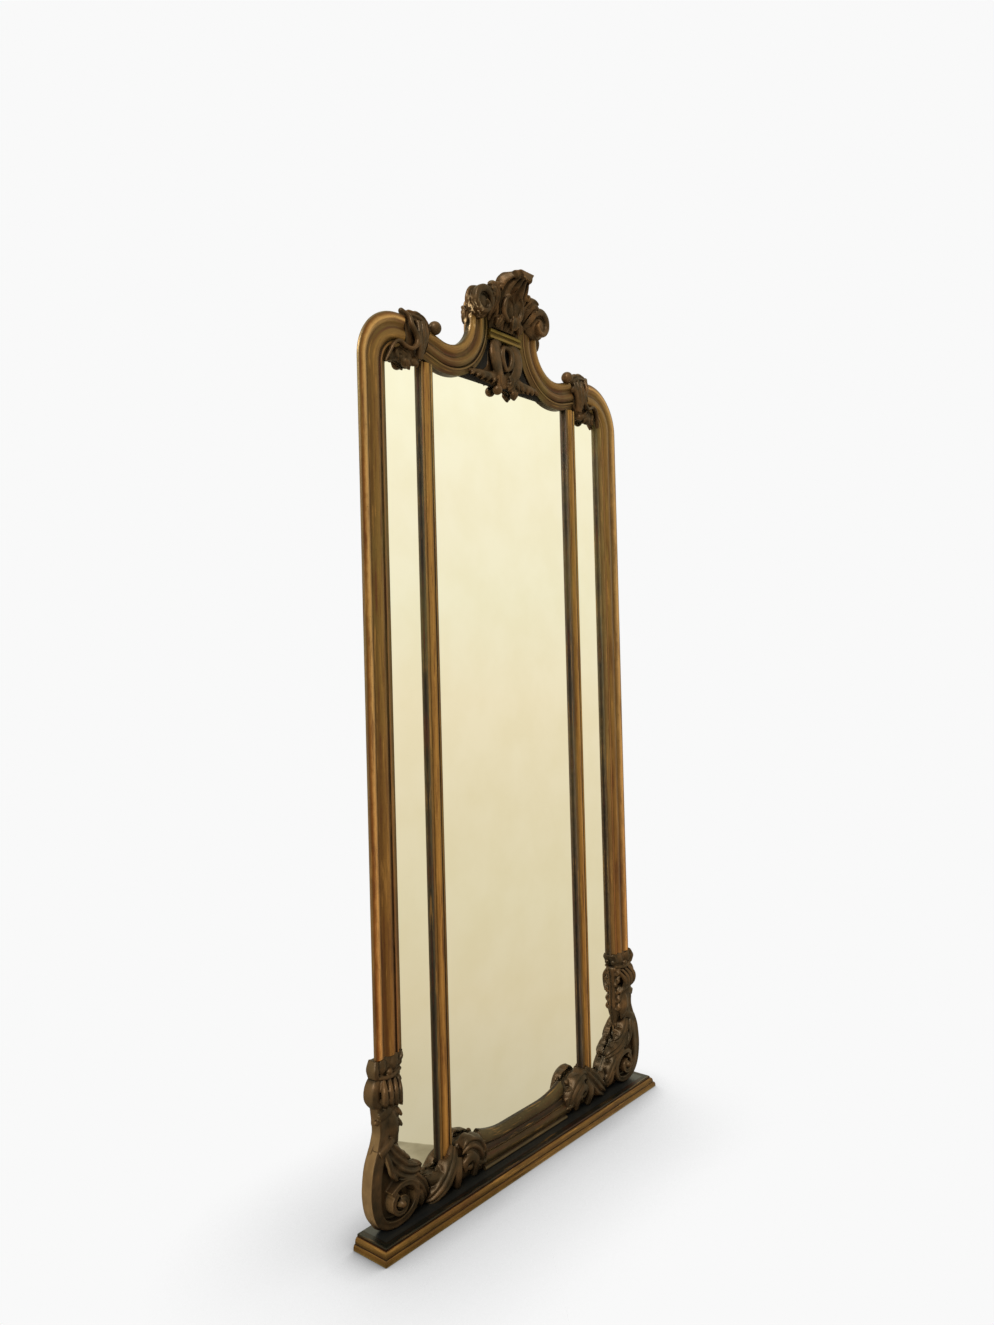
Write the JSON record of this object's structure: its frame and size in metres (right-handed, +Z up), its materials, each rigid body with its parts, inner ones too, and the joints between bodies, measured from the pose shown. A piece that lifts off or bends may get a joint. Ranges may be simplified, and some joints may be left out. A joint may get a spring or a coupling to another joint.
{
  "type": "trumeau mirror",
  "caption": "Tall carved and gilt trumeau mirror with a wide centre plate between narrow side plates, swan-neck cresting and a base shelf to stand on.",
  "frame": {"origin": "middle of the underside of the base shelf, half way between its front edge and the wall", "axes": "+X to the viewer's right, -Y the way the glass looks, +Z up"},
  "size_m": [1.07, 0.122, 2.2],
  "materials": {
    "water_gilding": "aged gold leaf over red bole on turned and planed wood, rubbed and streaked",
    "bronzed_carving": "carved wood under worn gilding toned almost black-brown, rubbed paler on the high edges",
    "dark_recess": "flat ground behind the carving, toned dark brown",
    "ebonised_wood": "ebonised shelf top, satin",
    "silvered_glass": "old silvered plate, slightly warm, a few foxed spots near the edge",
    "raw_pine": "unfinished aged softwood",
    "backing_board": "thin unfinished boards, darkened with age",
    "beech_dowel": "turned beech",
    "zinc_steel": "dull plated steel"
  },
  "bodies": {
    "root": {"backboard_centre": "backing_board", "backboard_left": "backing_board", "backboard_right": "backing_board", "base_board": "ebonised_wood", "base_edge_front": "water_gilding", "base_edge_left": "water_gilding", "base_edge_right": "water_gilding", "base_screws": "zinc_steel", "bottom_cartouche_left": "bronzed_carving", "bottom_cartouche_right": "bronzed_carving", "bottom_rail_moulding": "water_gilding", "carcass_bottom_rail": "raw_pine", "carcass_dowels": "beech_dowel", "carcass_muntin_left": "raw_pine", "carcass_muntin_right": "raw_pine", "carcass_stile_left": "raw_pine", "carcass_stile_right": "raw_pine", "carcass_top_rail": "raw_pine", "corner_clasp_left": "bronzed_carving", "corner_clasp_right": "bronzed_carving", "corner_scroll_left": "bronzed_carving", "corner_scroll_right": "bronzed_carving", "crest_board": "raw_pine", "crest_crossbar": "water_gilding", "crest_leaf_left": "bronzed_carving", "crest_leaf_right": "bronzed_carving", "crest_pendant": "bronzed_carving", "crest_plume": "bronzed_carving", "crest_volute_left": "bronzed_carving", "crest_volute_right": "bronzed_carving", "glazing_strips_centre": "raw_pine", "glazing_strips_left": "raw_pine", "glazing_strips_right": "raw_pine", "hanging_plate_left": "zinc_steel", "hanging_plate_right": "zinc_steel", "hanging_plate_screws": "zinc_steel", "leg_scroll_left": "bronzed_carving", "leg_scroll_right": "bronzed_carving", "mirror_plate_centre": "silvered_glass", "mirror_plate_left": "silvered_glass", "mirror_plate_right": "silvered_glass", "neck_moulding_left": "water_gilding", "neck_moulding_right": "water_gilding", "slip_moulding_left": "water_gilding", "slip_moulding_right": "water_gilding", "stile_collar_left": "bronzed_carving", "stile_collar_right": "bronzed_carving", "stile_moulding_left": "water_gilding", "stile_moulding_right": "water_gilding", "tympanum_panel": "dark_recess"}
  },
  "joints": []
}
